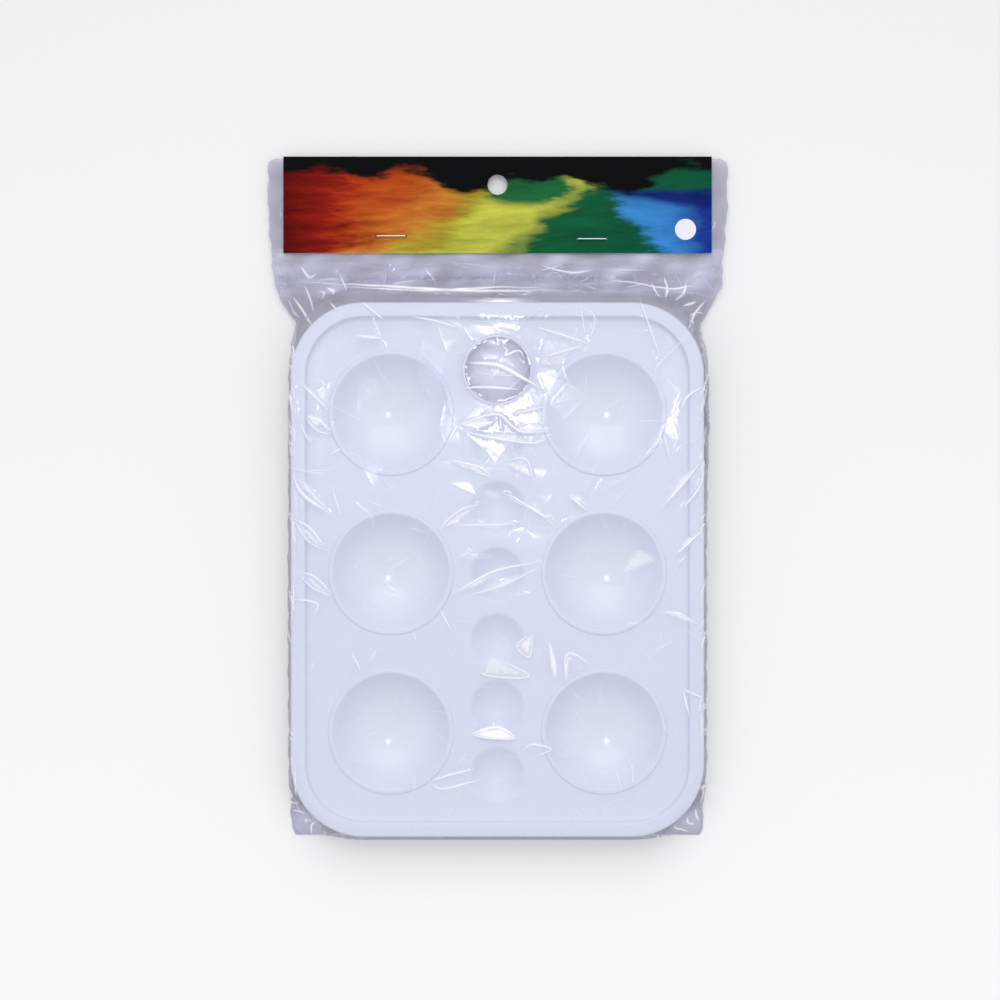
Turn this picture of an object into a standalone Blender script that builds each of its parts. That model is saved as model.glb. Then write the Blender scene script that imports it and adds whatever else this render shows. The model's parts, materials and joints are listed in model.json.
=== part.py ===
"""A plastic paint-mixing tray in its shop packing: a clear film bag closed by a stapled header card.

The pack lies on its back. +X runs across it to the right, +Y up towards the header card and +Z out of
the wells. The origin is the bottom centre of the whole pack. All sizes are in metres.
"""

import math

import bmesh
import bpy

# Fits between pieces
CONTACT_GAP = 0.0003  # between two pieces that touch
LEG_CLEARANCE = 0.0003  # around a staple leg, in the card and in the film

# Tray: overall
TRAY_WIDTH = 0.170
TRAY_LENGTH = 0.220
TRAY_CORNER_RADIUS = 0.030
TRAY_WALL = 0.0013
TRAY_SLIDE = 0.004  # how far the tray can slip towards the header inside its bag

# Tray: rim
RIM_WIDTH = 0.0061
RIM_RISE = 0.0025
RIM_OUTER_ROUND = 0.0012
RIM_INNER_ROUND = 0.0007
SKIRT_HEIGHT = 0.008

# Tray: large wells, in two columns of three
WELL_EDGE_RADIUS = 0.0245
WELL_DEPTH = 0.0105
WELL_EDGE_ROUND = 0.0008
WELL_FOOT_RADIUS = 0.004
LIP_RADIUS = 0.026
LIP_RISE = 0.0007
WELL_ROWS = 3
COLUMN_LAND_SHARE = 0.42  # of the free width beside a column, how much lies towards the small wells
ROW_LAND_SHARE = 0.272  # of the free length along a column, how much lies between two wells
END_LAND_SHARE = 0.204  # and how much lies below the lowest well

# Tray: small wells in one row down the middle, under the thumb hole
SMALL_WELLS = 6
SMALL_EDGE_RADIUS = 0.012
SMALL_DEPTH = 0.0045
SMALL_EDGE_ROUND = 0.0025
SMALL_FOOT_RADIUS = 0.002
THUMB_RADIUS = 0.0134
THUMB_EDGE_ROUND = 0.0008
THUMB_COLLAR = 0.004
MIDDLE_LAND_SHARE = 0.1  # of the free length down the middle, how much lies between two openings

# Bag
FILM = 0.00015
FILM_INSIDE = 0.0003  # between the two film layers where the bag lies flat
BAG_EDGE_ROUND = 0.0014
BAG_FOOT_FLARE = 0.002  # how far the film stands out from the tray at the table, on each side
BAG_END_FLARE = 0.0025  # and at the closed end
BAG_FLAT_ALLOWANCE = 0.0117  # half the bag's flat width, less half the tray's width
NECK_TAPER = 0.0022  # how much narrower the neck is at its fold line than at the bag's mouth
CORNER_PINCH = 0.0005  # the flare that is left where the film pulls in at the tray's upper corners
NECK_SLOPE = 0.007  # length over which the film comes down from the tray to the fold line
FOLD_HALF_GAP = 0.00045  # from the fold line to the film on either side of it
MOUTH_CORNER = 0.003

# Header card
CARD_HEIGHT = 0.0408
CARD_THICKNESS = 0.00035
CARD_SIDE_MARGIN = 0.0068  # film that shows beyond each end of the card
NECK_FLAT = 0.0103  # from the fold line to the card's lower edge
HANG_HOLE_RADIUS = 0.0042
HANG_HOLE_DROP = 0.0121  # from the card's folded edge to the hole's centre

# Staples
STAPLE_CROWN = 0.0130
STAPLE_WIRE = 0.0005
STAPLE_CLINCH = 0.0042
STAPLE_BEND = 0.0004
STAPLE_LEFT = (-0.0447, 0.0071)  # across the card, and up from its lower edge
STAPLE_RIGHT = (0.0397, 0.0059)

# Segments
CORNER_STEPS = 8
WELL_SEGMENTS = 28
SMALL_SEGMENTS = 18
THUMB_SEGMENTS = 24
HANG_HOLE_SEGMENTS = 32
LEG_HOLE_SEGMENTS = 12
FOLD_STEPS = 6
WIRE_SIDES = 8

# Heights, from the table up. The clinched staple legs and the bag are what the pack lies on.
TRAY_FOOT_Z = FILM + CONTACT_GAP
CARD_BACK_Z = STAPLE_WIRE + CONTACT_GAP
FLAT_FILM = 2 * FILM + FILM_INSIDE
FLAT_FILM_Z = CARD_BACK_Z + CARD_THICKNESS + CONTACT_GAP
FOLD_Z = FLAT_FILM_Z + FLAT_FILM / 2
CARD_HALF_DEPTH = FLAT_FILM / 2 + CONTACT_GAP + CARD_THICKNESS
CROWN_Z = CARD_HALF_DEPTH + CONTACT_GAP + STAPLE_WIRE / 2  # above and below the fold line's height

# Lengths, from the tray's middle
TRAY_HALF_LENGTH = TRAY_LENGTH / 2
BAG_END_Y = -TRAY_HALF_LENGTH - BAG_END_FLARE
SLOPE_TOP_Y = TRAY_HALF_LENGTH + TRAY_SLIDE + CONTACT_GAP + FILM
FOLD_Y = SLOPE_TOP_Y + NECK_SLOPE + FOLD_HALF_GAP
CARD_LOW_Y = FOLD_Y + NECK_FLAT
CARD_TOP_Y = CARD_LOW_Y + CARD_HEIGHT
PACK_MIDDLE_Y = (BAG_END_Y + CARD_TOP_Y) / 2

# Widths
DECK_INSET = RIM_WIDTH + RIM_INNER_ROUND
BAG_FLAT_HALF_WIDTH = TRAY_WIDTH / 2 + BAG_FLAT_ALLOWANCE
CARD_WIDTH = 2 * (BAG_FLAT_HALF_WIDTH - CARD_SIDE_MARGIN)


def clear_scene():
    for item in list(bpy.data.objects):
        bpy.data.objects.remove(item, do_unlink=True)


def make_material(name, colour, roughness, metallic=0.0, alpha=1.0):
    material = bpy.data.materials.new(name)
    material.use_nodes = True
    shader = material.node_tree.nodes["Principled BSDF"]
    shader.inputs["Base Color"].default_value = (*colour, 1.0)
    shader.inputs["Roughness"].default_value = roughness
    shader.inputs["Metallic"].default_value = metallic
    shader.inputs["Alpha"].default_value = alpha
    return material


def make_empty(name, location, parent=None):
    empty = bpy.data.objects.new(name, None)
    bpy.context.collection.objects.link(empty)
    empty.parent = parent
    empty.location = location
    return empty


def make_object(name, mesh_data, material, parent):
    """Turn a finished bmesh into an object on its parent, shaded smooth except at its edges."""
    bmesh.ops.recalc_face_normals(mesh_data, faces=mesh_data.faces)
    mesh = bpy.data.meshes.new(name)
    mesh_data.to_mesh(mesh)
    mesh_data.free()
    mesh.shade_smooth()
    mesh.set_sharp_from_angle(angle=math.radians(35))
    mesh.materials.append(material)
    item = bpy.data.objects.new(name, mesh)
    bpy.context.collection.objects.link(item)
    item.parent = parent
    return item


def bridge(mesh_data, first, second):
    """Join two rings of as many vertices with a band of faces."""
    count = len(first)
    for i in range(count):
        j = (i + 1) % count
        mesh_data.faces.new((first[i], first[j], second[j], second[i]))


def skin(mesh_data, rings):
    """Make vertices for each ring of points and join each ring to the next."""
    layers = [[mesh_data.verts.new(point) for point in ring] for ring in rings]
    for first, second in zip(layers, layers[1:]):
        bridge(mesh_data, first, second)
    return layers


def ring_edges(mesh_data, ring):
    return [mesh_data.edges.get((a, b)) for a, b in zip(ring, ring[1:] + ring[:1])]


def arc(centre, radius, start, end, steps):
    """Points of an arc in a profile, as (across, up). Angles are in degrees from the across axis."""
    points = []
    for i in range(steps + 1):
        angle = math.radians(start + (end - start) * i / steps)
        points.append((centre[0] + radius * math.cos(angle), centre[1] + radius * math.sin(angle)))
    return points


def rounded_rectangle(half_width, half_length, radius, z):
    """Ring of points round a rectangle with round corners, starting on its +X side."""
    ring = []
    for corner, (side_x, side_y) in enumerate(((1, 1), (-1, 1), (-1, -1), (1, -1))):
        centre = (side_x * (half_width - radius), side_y * (half_length - radius))
        for x, y in arc(centre, radius, 90 * corner, 90 * corner + 90, CORNER_STEPS):
            ring.append((x, y, z))
    return ring


def circle(centre, radius, z, segments):
    ring = []
    for i in range(segments):
        angle = 2 * math.pi * i / segments
        ring.append((centre[0] + radius * math.cos(angle), centre[1] + radius * math.sin(angle), z))
    return ring


# Tray


def rim_profile():
    """The tray's edge as (inset, height over the deck): from the deck, over the rim, round under it."""
    inner_round = RIM_INNER_ROUND
    outer_round = RIM_OUTER_ROUND
    foot = [(DECK_INSET - x, z) for x, z in arc((0, inner_round), inner_round, 270, 360, 2)]
    shoulder_centre = (RIM_WIDTH - inner_round, RIM_RISE - inner_round)
    shoulder = arc(shoulder_centre, inner_round, 0, 90, 2)
    edge = arc((outer_round, RIM_RISE - outer_round), outer_round, 90, 180, 3)
    skirt_foot = RIM_RISE - SKIRT_HEIGHT
    ceiling = RIM_RISE - TRAY_WALL
    channel = RIM_WIDTH - TRAY_WALL
    under = [
        (0, skirt_foot),
        (TRAY_WALL, skirt_foot),
        (TRAY_WALL, ceiling),
        (channel, ceiling),
        (channel, -TRAY_WALL),
    ]
    return foot + shoulder + edge + under


def dish_sphere(edge_radius, depth, edge_round):
    """The sphere's centre over the dish's edge, its radius, and the angle where the edge's round ends."""
    centre = (edge_radius**2 - depth**2 - 2 * depth * edge_round) / (2 * depth)
    radius = centre + depth
    return centre, radius, math.asin(edge_radius / (radius + edge_round))


def dish_top(edge_radius, depth, edge_round, steps):
    """A dish's inside as (radius, height) from its edge to its middle."""
    centre, radius, turn = dish_sphere(edge_radius, depth, edge_round)
    profile = arc((edge_radius, -edge_round), edge_round, 90, 90 + math.degrees(turn), 2)
    for i in range(1, steps + 1):
        angle = turn * (1 - i / steps)
        profile.append((radius * math.sin(angle), centre - radius * math.cos(angle)))
    return profile


def dish_under(edge_radius, depth, edge_round, deck_under, foot_radius, steps):
    """A dish's outside, a wall's thickness under its inside, from the deck's underside to its foot."""
    centre, radius, turn = dish_sphere(edge_radius, depth, edge_round)
    radius += TRAY_WALL
    under_round = edge_round - TRAY_WALL
    profile = []
    if under_round > 0:
        profile = arc((edge_radius, -edge_round), under_round, 90, 90 + math.degrees(turn), 1)[:-1]
    else:
        turn = math.acos((centre - deck_under) / radius)
    last = math.asin(foot_radius / radius)
    for i in range(steps + 1):
        angle = turn + (last - turn) * i / steps
        profile.append((radius * math.sin(angle), centre - radius * math.cos(angle)))
    return profile


def add_dish(mesh_data, centre, profile, base_z, segments):
    """Turn a profile that runs to a dish's middle, and return the ring where it leaves the deck."""
    flat_foot = profile[-1][0] > 1e-6
    rings = profile if flat_foot else profile[:-1]
    layers = skin(mesh_data, [circle(centre, r, base_z + z, segments) for r, z in rings])
    tip = mesh_data.verts.new((centre[0], centre[1], base_z + profile[-1][1]))
    last = layers[-1]
    for a, b in zip(last, last[1:] + last[:1]):
        mesh_data.faces.new((a, b, tip))
    return layers[0]


def large_well_profiles():
    """Inside and outside of a large well, as heights over the deck, with the raised lip round it."""
    lip = arc((LIP_RADIUS - LIP_RISE, 0), LIP_RISE, 0, 90, 2)
    size = (WELL_EDGE_RADIUS, WELL_DEPTH + LIP_RISE, WELL_EDGE_ROUND)
    inside = lip + [(r, z + LIP_RISE) for r, z in dish_top(*size, 5)]
    deck_under = -TRAY_WALL - LIP_RISE
    outside = [(r, z + LIP_RISE) for r, z in dish_under(*size, deck_under, WELL_FOOT_RADIUS, 4)]
    return inside, outside


def small_well_profiles():
    size = (SMALL_EDGE_RADIUS, SMALL_DEPTH, SMALL_EDGE_ROUND)
    return dish_top(*size, 3), dish_under(*size, -TRAY_WALL, SMALL_FOOT_RADIUS, 2)


def thumb_profile():
    """Section of the thumb hole's edge and collar, from the deck's top to its underside."""
    edge = arc((THUMB_RADIUS + THUMB_EDGE_ROUND, -THUMB_EDGE_ROUND), THUMB_EDGE_ROUND, 90, 180, 2)
    collar = [
        (THUMB_RADIUS, -THUMB_COLLAR),
        (THUMB_RADIUS + TRAY_WALL, -THUMB_COLLAR),
        (THUMB_RADIUS + TRAY_WALL, -TRAY_WALL),
    ]
    return edge + collar


def large_well_centres():
    deck_half_width = TRAY_WIDTH / 2 - DECK_INSET
    deck_length = TRAY_LENGTH - 2 * DECK_INSET
    free_width = deck_half_width - SMALL_EDGE_RADIUS - 2 * LIP_RADIUS
    free_length = deck_length - WELL_ROWS * 2 * LIP_RADIUS
    column_x = SMALL_EDGE_RADIUS + COLUMN_LAND_SHARE * free_width + LIP_RADIUS
    pitch = 2 * LIP_RADIUS + ROW_LAND_SHARE * free_length
    lowest_y = -deck_length / 2 + END_LAND_SHARE * free_length + LIP_RADIUS
    return [(side * column_x, lowest_y + row * pitch) for row in range(WELL_ROWS) for side in (-1, 1)]


def middle_openings():
    """Centres of the small wells, lowest first, and of the thumb hole above them."""
    deck_length = TRAY_LENGTH - 2 * DECK_INSET
    thumb_edge = THUMB_RADIUS + THUMB_EDGE_ROUND
    free_length = deck_length - SMALL_WELLS * 2 * SMALL_EDGE_RADIUS - 2 * thumb_edge
    land = MIDDLE_LAND_SHARE * free_length
    end_land = (free_length - SMALL_WELLS * land) / 2
    pitch = 2 * SMALL_EDGE_RADIUS + land
    lowest_y = -deck_length / 2 + end_land + SMALL_EDGE_RADIUS
    small = [(0, lowest_y + i * pitch) for i in range(SMALL_WELLS)]
    thumb = (0, small[-1][1] + SMALL_EDGE_RADIUS + land + thumb_edge)
    return small, thumb


def deck_height():
    """Height of the deck's top over the lowest point of the wells that the tray stands on."""
    return -large_well_profiles()[1][-1][1]


def build_tray(material, parent):
    """One moulding: deck, raised rim with a turned-down skirt, twelve dished wells and a thumb hole."""
    mesh_data = bmesh.new()
    deck = deck_height()
    rim = []
    for inset, height in rim_profile():
        half_width = TRAY_WIDTH / 2 - inset
        half_length = TRAY_LENGTH / 2 - inset
        radius = TRAY_CORNER_RADIUS - inset
        rim.append(rounded_rectangle(half_width, half_length, radius, deck + height))
    rim_layers = skin(mesh_data, rim)
    top_rings = [rim_layers[0]]
    under_rings = [rim_layers[-1]]

    small_centres, thumb_centre = middle_openings()
    wells = [(centre, large_well_profiles(), WELL_SEGMENTS) for centre in large_well_centres()]
    wells += [(centre, small_well_profiles(), SMALL_SEGMENTS) for centre in small_centres]
    for centre, (inside, outside), segments in wells:
        top_rings.append(add_dish(mesh_data, centre, inside, deck, segments))
        under_rings.append(add_dish(mesh_data, centre, outside, deck, segments))

    collar = [circle(thumb_centre, r, deck + z, THUMB_SEGMENTS) for r, z in thumb_profile()]
    collar_layers = skin(mesh_data, collar)
    top_rings.append(collar_layers[0])
    under_rings.append(collar_layers[-1])

    for rings in (top_rings, under_rings):
        edges = [edge for ring in rings for edge in ring_edges(mesh_data, ring)]
        bmesh.ops.triangle_fill(mesh_data, use_beauty=True, edges=edges, normal=(0, 0, 1))
    return make_object("mixing_tray", mesh_data, material, parent)


# Bag


def bag_section(y, low_z, low_half, high_z, high_half, edge_round):
    """Ring round the bag at y: flat below and above, its sides leaning in to a rounded upper edge."""
    upper = []
    for across, up in arc((high_half - edge_round, high_z - edge_round), edge_round, 0, 90, 2):
        upper.append((across, y, up))
    right = [(low_half, y, low_z)] + upper
    left = [(-x, y, z) for x, _, z in reversed(right)]
    return right + left


def pouch_sections(inset):
    """Sections of the pouch from its closed end to the fold line, moved inwards by inset."""
    reach = CONTACT_GAP + FILM - inset  # from the tray's side to this surface
    top_half = TRAY_WIDTH / 2 + reach
    corner = TRAY_CORNER_RADIUS + reach
    low_half = TRAY_WIDTH / 2 + reach + BAG_FOOT_FLARE
    pinch_half = TRAY_WIDTH / 2 + reach - CORNER_PINCH
    fold_half = BAG_FLAT_HALF_WIDTH - NECK_TAPER - inset
    high_z = TRAY_FOOT_Z + deck_height() + RIM_RISE + reach
    edge = BAG_EDGE_ROUND - inset
    flat_round = FLAT_FILM / 4 - inset / 2
    end_y = BAG_END_Y + inset
    near_y = -TRAY_HALF_LENGTH - reach
    far_y = SLOPE_TOP_Y - inset
    flat_low = FLAT_FILM_Z + inset
    flat_high = FLAT_FILM_Z + FLAT_FILM - inset
    sections = [bag_section(end_y, inset, low_half, FLAT_FILM - inset, low_half, flat_round)]
    for across, along in arc((top_half - corner, corner), corner, -90, 0, CORNER_STEPS):
        sections.append(bag_section(near_y + along, inset, low_half, high_z, across, edge))
    for across, along in arc((top_half - corner, -corner), corner, 0, 90, CORNER_STEPS):
        share = (along + corner) / corner
        pull = math.sin(math.pi * min(1.0, 1.4 * share)) ** 2
        flare = max(0.0, share - 0.7) / 0.3
        outer = low_half + (pinch_half - low_half) * pull + (fold_half - low_half) * 0.5 * flare
        low_z = inset + (flat_low - inset) * 0.2 * flare
        sections.append(bag_section(far_y + along, low_z, outer, high_z, across, edge))
    fold_y = FOLD_Y - FOLD_HALF_GAP
    sections.append(bag_section(fold_y, flat_low, fold_half, flat_high, fold_half, flat_round))
    return sections


def build_pouch(material, parent):
    """The bag up to its fold line: a thin shell round the tray, open where the neck goes on."""
    mesh_data = bmesh.new()
    outside = skin(mesh_data, pouch_sections(0.0))
    inside = skin(mesh_data, pouch_sections(FILM))
    bridge(mesh_data, outside[-1], inside[-1])
    mesh_data.faces.new(outside[0])
    mesh_data.faces.new(inside[0])
    return make_object("bag_pouch", mesh_data, material, parent)


def mouth_sections(inset):
    """Sections of the bag's flat neck and mouth, from the fold line up, moved inwards by inset."""
    half_depth = FLAT_FILM / 2 - inset
    start = FOLD_HALF_GAP
    end = NECK_FLAT + CARD_HEIGHT - CARD_HALF_DEPTH
    full = BAG_FLAT_HALF_WIDTH - inset
    stations = [
        (start, full - NECK_TAPER),
        (NECK_FLAT, full - NECK_TAPER / 2),
        (end - MOUTH_CORNER, full),
        (end - MOUTH_CORNER / 3, full - MOUTH_CORNER / 3),
        (end, full - MOUTH_CORNER),
    ]
    edge = FLAT_FILM / 4 - inset / 2
    return [bag_section(y, -half_depth, half, half_depth, half, edge) for y, half in stations]


def build_mouth(material, parent):
    """The bag beyond its fold line: two flat layers that end, open, inside the folded card."""
    mesh_data = bmesh.new()
    outside = skin(mesh_data, mouth_sections(0.0))
    inside = skin(mesh_data, mouth_sections(FILM))
    bridge(mesh_data, outside[0], inside[0])
    bridge(mesh_data, outside[-1], inside[-1])
    return make_object("bag_mouth", mesh_data, material, parent)


# Header


def build_card(material, parent):
    """One card folded over the bag's mouth, seen from the side as a narrow U and as wide as the pack."""
    outer = CARD_HALF_DEPTH
    inner = CARD_HALF_DEPTH - CARD_THICKNESS
    low = NECK_FLAT
    fold = NECK_FLAT + CARD_HEIGHT - CARD_HALF_DEPTH
    outline = [(low, -outer)] + arc((fold, 0), outer, -90, 90, FOLD_STEPS) + [(low, outer)]
    outline += [(low, inner)] + arc((fold, 0), inner, 90, -90, FOLD_STEPS) + [(low, -inner)]
    mesh_data = bmesh.new()
    ends = [[(x, y, z) for y, z in outline] for x in (-CARD_WIDTH / 2, CARD_WIDTH / 2)]
    for layer in skin(mesh_data, ends):
        mesh_data.faces.new(layer)
    return make_object("header_card", mesh_data, material, parent)


def wire_ring(before, point, after, y, radius):
    """Ring of a wire at a bend of its path, on the plane that halves the bend."""
    turn_in = math.atan2(point[1] - before[1], point[0] - before[0])
    turn_out = math.atan2(after[1] - point[1], after[0] - point[0])
    half_bend = math.remainder(turn_out - turn_in, 2 * math.pi) / 2
    side = turn_in + half_bend + math.pi / 2
    stretch = 1 / math.cos(half_bend)
    ring = []
    for i in range(WIRE_SIDES):
        angle = 2 * math.pi * i / WIRE_SIDES
        across = radius * math.cos(angle) * stretch
        x = point[0] + across * math.cos(side)
        z = point[1] + across * math.sin(side)
        ring.append((x, y + radius * math.sin(angle), z))
    return ring


def build_staple(name, place, material, parent):
    """A closed wire staple: crown in front of the card, legs through it, points folded in behind."""
    x, up = place
    y = NECK_FLAT + up
    half = STAPLE_CROWN / 2 - STAPLE_WIRE / 2
    bend = STAPLE_BEND
    right_side = [
        (half - bend, CROWN_Z),
        (half, CROWN_Z - bend),
        (half, -CROWN_Z + bend),
        (half - bend, -CROWN_Z),
        (half - STAPLE_CLINCH, -CROWN_Z),
    ]
    path = [(-across, z) for across, z in reversed(right_side)] + right_side
    path = [(x + across, z) for across, z in path]
    # The path is carried on straight past both ends, so that the end faces lie square to the wire.
    before_start = (2 * path[0][0] - path[1][0], path[0][1])
    after_end = (2 * path[-1][0] - path[-2][0], path[-1][1])
    whole = [before_start] + path + [after_end]
    rings = []
    for before, point, after in zip(whole, whole[1:], whole[2:]):
        rings.append(wire_ring(before, point, after, y, STAPLE_WIRE / 2))
    mesh_data = bmesh.new()
    layers = skin(mesh_data, rings)
    mesh_data.faces.new(layers[0])
    mesh_data.faces.new(layers[-1])
    return make_object(name, mesh_data, material, parent)


def make_cutter(name, centre, radius, segments, parent):
    """A cylinder through the header, which cuts a hole in the card and in the film."""
    mesh_data = bmesh.new()
    reach = 2 * CARD_HALF_DEPTH
    layers = skin(mesh_data, [circle(centre, radius, z, segments) for z in (-reach, reach)])
    for layer in layers:
        mesh_data.faces.new(layer)
    cutter = make_object(name, mesh_data, None, parent)
    cutter.hide_render = True
    cutter.display_type = "WIRE"
    return cutter


def cut_header_holes(items, parent):
    """Punch the hang hole and the staple legs' holes through the card and both layers of film."""
    leg = STAPLE_CROWN / 2 - STAPLE_WIRE / 2
    hang_centre = (0, NECK_FLAT + CARD_HEIGHT - HANG_HOLE_DROP)
    hang_hole = (HANG_HOLE_RADIUS, HANG_HOLE_SEGMENTS)
    cutters = [make_cutter("hang_hole_cutter", hang_centre, *hang_hole, parent)]
    for label, (x, up) in (("left", STAPLE_LEFT), ("right", STAPLE_RIGHT)):
        for number, side in enumerate((-1, 1), start=1):
            centre = (x + side * leg, NECK_FLAT + up)
            leg_hole = (STAPLE_WIRE / 2 + LEG_CLEARANCE, LEG_HOLE_SEGMENTS)
            cutters.append(make_cutter(f"{label}_leg_cutter_{number}", centre, *leg_hole, parent))
    for item in items:
        for cutter in cutters:
            modifier = item.modifiers.new(cutter.name, "BOOLEAN")
            modifier.operation = "DIFFERENCE"
            modifier.solver = "EXACT"
            modifier.object = cutter


def main():
    clear_scene()
    tray_plastic = make_material("tray_plastic", (0.80, 0.82, 0.88), 0.35)
    film = make_material("clear_film", (0.75, 0.75, 0.82), 0.15, alpha=0.3)
    card = make_material("printed_card", (0.55, 0.45, 0.12), 0.4)
    steel = make_material("staple_steel", (0.62, 0.62, 0.64), 0.3, metallic=1.0)

    pack = make_empty("pack", (0, -PACK_MIDDLE_Y, 0))
    slide = make_empty("tray_slide", (0, 0, TRAY_FOOT_Z), pack)
    hinge = make_empty("header_fold", (0, FOLD_Y, FOLD_Z), pack)

    build_tray(tray_plastic, slide)
    build_pouch(film, pack)
    mouth = build_mouth(film, hinge)
    header_card = build_card(card, hinge)
    build_staple("staple_left", STAPLE_LEFT, steel, hinge)
    build_staple("staple_right", STAPLE_RIGHT, steel, hinge)
    cut_header_holes((mouth, header_card), hinge)


main()
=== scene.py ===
"""Looks of a paint-mixing tray in its clear bag with a stapled header card.

Everything is in metres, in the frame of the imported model: +X across the pack to the right, +Y up towards the
header card, +Z out of the wells. Places on the film are given in millimetres from the tray's middle.
"""

import json
import math

import bmesh
import bpy
import numpy as np
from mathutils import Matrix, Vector
from mathutils.geometry import delaunay_2d_cdt


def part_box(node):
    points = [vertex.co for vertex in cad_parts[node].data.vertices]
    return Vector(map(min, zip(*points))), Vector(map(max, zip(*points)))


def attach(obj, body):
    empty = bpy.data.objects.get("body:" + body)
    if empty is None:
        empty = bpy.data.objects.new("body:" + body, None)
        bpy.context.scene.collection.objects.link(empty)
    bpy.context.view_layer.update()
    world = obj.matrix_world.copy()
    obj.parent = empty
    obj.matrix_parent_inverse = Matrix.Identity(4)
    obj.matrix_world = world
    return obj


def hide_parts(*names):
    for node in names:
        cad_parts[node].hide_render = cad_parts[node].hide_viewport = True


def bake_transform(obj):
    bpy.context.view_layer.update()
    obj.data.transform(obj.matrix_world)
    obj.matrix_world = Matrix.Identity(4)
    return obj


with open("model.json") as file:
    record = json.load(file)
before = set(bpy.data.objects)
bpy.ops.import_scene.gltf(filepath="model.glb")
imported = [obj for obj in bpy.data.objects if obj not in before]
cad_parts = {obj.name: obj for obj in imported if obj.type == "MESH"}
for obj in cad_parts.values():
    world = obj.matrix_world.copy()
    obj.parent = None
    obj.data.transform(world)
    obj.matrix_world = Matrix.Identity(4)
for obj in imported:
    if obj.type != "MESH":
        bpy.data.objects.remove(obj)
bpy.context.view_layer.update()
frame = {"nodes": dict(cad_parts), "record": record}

MM = 0.001
SEED = 41

tray_low, tray_high = (np.array(corner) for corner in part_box("mixing_tray"))
pouch_low, pouch_high = (np.array(corner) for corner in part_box("bag_pouch"))
mouth_low, mouth_high = (np.array(corner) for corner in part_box("bag_mouth"))
card_low, card_high = (np.array(corner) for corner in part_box("header_card"))
TRAY_MIDDLE = (tray_low + tray_high) / 2
TRAY_HALF_WIDTH = (tray_high[0] - tray_low[0]) / 2
TRAY_HALF_LENGTH = (tray_high[1] - tray_low[1]) / 2
hinge = next(joint for joint in frame["record"]["behaviour"]["joints"] if joint["name"] == "header_fold")
FOLD_Y, FOLD_Z = hinge["pos_m"][1:]
SLIDE = next(j for j in frame["record"]["behaviour"]["joints"] if j["name"] == "tray_slide")["range_m"][1]


# Small helpers


def add_object(name, mesh_data, smooth_angle):
    mesh = bpy.data.meshes.new(name)
    mesh_data.to_mesh(mesh)
    mesh_data.free()
    mesh.shade_smooth()
    mesh.set_sharp_from_angle(angle=math.radians(smooth_angle))
    item = bpy.data.objects.new(name, mesh)
    bpy.context.scene.collection.objects.link(item)
    return item


class Nodes:
    """Short hand for building a node material."""

    def __init__(self, name):
        self.material = bpy.data.materials.new(name)
        self.material.use_nodes = True
        self.tree = self.material.node_tree
        self.tree.nodes.clear()
        self.output = self.tree.nodes.new("ShaderNodeOutputMaterial")
        self.where = self.add("TexCoord").outputs["Object"]

    def add(self, kind, settings=None, **inputs):
        node = self.tree.nodes.new("ShaderNode" + kind)
        for key, value in (settings or {}).items():
            setattr(node, key, value)
        for key, value in inputs.items():
            self.plug(node, key.replace("_", " "), value)
        return node

    def plug(self, node, key, value):
        socket = node.inputs[int(key)] if key.isdigit() else node.inputs[key]
        if isinstance(value, bpy.types.NodeSocket):
            self.tree.links.new(value, socket)
        elif isinstance(value, bpy.types.Node):
            self.tree.links.new(value.outputs[0], socket)
        else:
            socket.default_value = value

    def math(self, operation, first, second=0.5, third=0.5, clamp=False):
        node = self.add("Math", {"operation": operation, "use_clamp": clamp})
        for index, value in enumerate((first, second, third)):
            self.plug(node, str(index), value)
        return node.outputs[0]

    def mix(self, factor, first, second, blend="MIX"):
        node = self.add("Mix", {"data_type": "RGBA", "blend_type": blend, "clamp_factor": True})
        for key, value in (("0", factor), ("6", first), ("7", second)):
            self.plug(node, key, value)
        return node.outputs[2]

    def noise(self, where, scale, detail, roughness=0.5):
        settings = {"Scale": scale, "Detail": detail, "Roughness": roughness}
        return self.add("TexNoise", Vector=where, **settings).outputs[0]

    def ramp(self, factor, stops, interpolation="LINEAR"):
        node = self.add("ValToRGB", Fac=factor)
        node.color_ramp.interpolation = interpolation
        elements = node.color_ramp.elements
        while len(elements) < len(stops):
            elements.new(0.5)
        for element, (place, colour) in zip(elements, stops):
            element.position = place
            element.color = colour if len(colour) == 4 else (*colour, 1.0)
        return node.outputs[0]

    def radius(self, first, second):
        squares = self.math("POWER", first, 2.0), self.math("POWER", second, 2.0)
        return self.math("SQRT", self.math("ADD", *squares))

    def soft_step(self, value, start, end):
        """0 at start and 1 at end, with a soft turn at both."""
        low, high = min(start, end), max(start, end)
        node = self.add("MapRange", {"interpolation_type": "SMOOTHSTEP"}, Value=value)
        limits = {"From Min": low, "From Max": high}
        limits.update({"To Min": float(start > end), "To Max": float(end > start)})
        for key, number in limits.items():
            node.inputs[key].default_value = number
        return node.outputs[0]

    def finish(self, shader):
        self.plug(self.output, "Surface", shader.outputs[0])
        return self.material


def rgb(red, green, blue):
    """A colour as linear values from its screen values, 0 to 255."""
    linear = []
    for value in (red, green, blue):
        share = value / 255
        linear.append(share / 12.92 if share <= 0.04045 else ((share + 0.055) / 1.055) ** 2.4)
    return (*linear, 1.0)


# Tray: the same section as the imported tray, with many more steps round each curve

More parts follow.
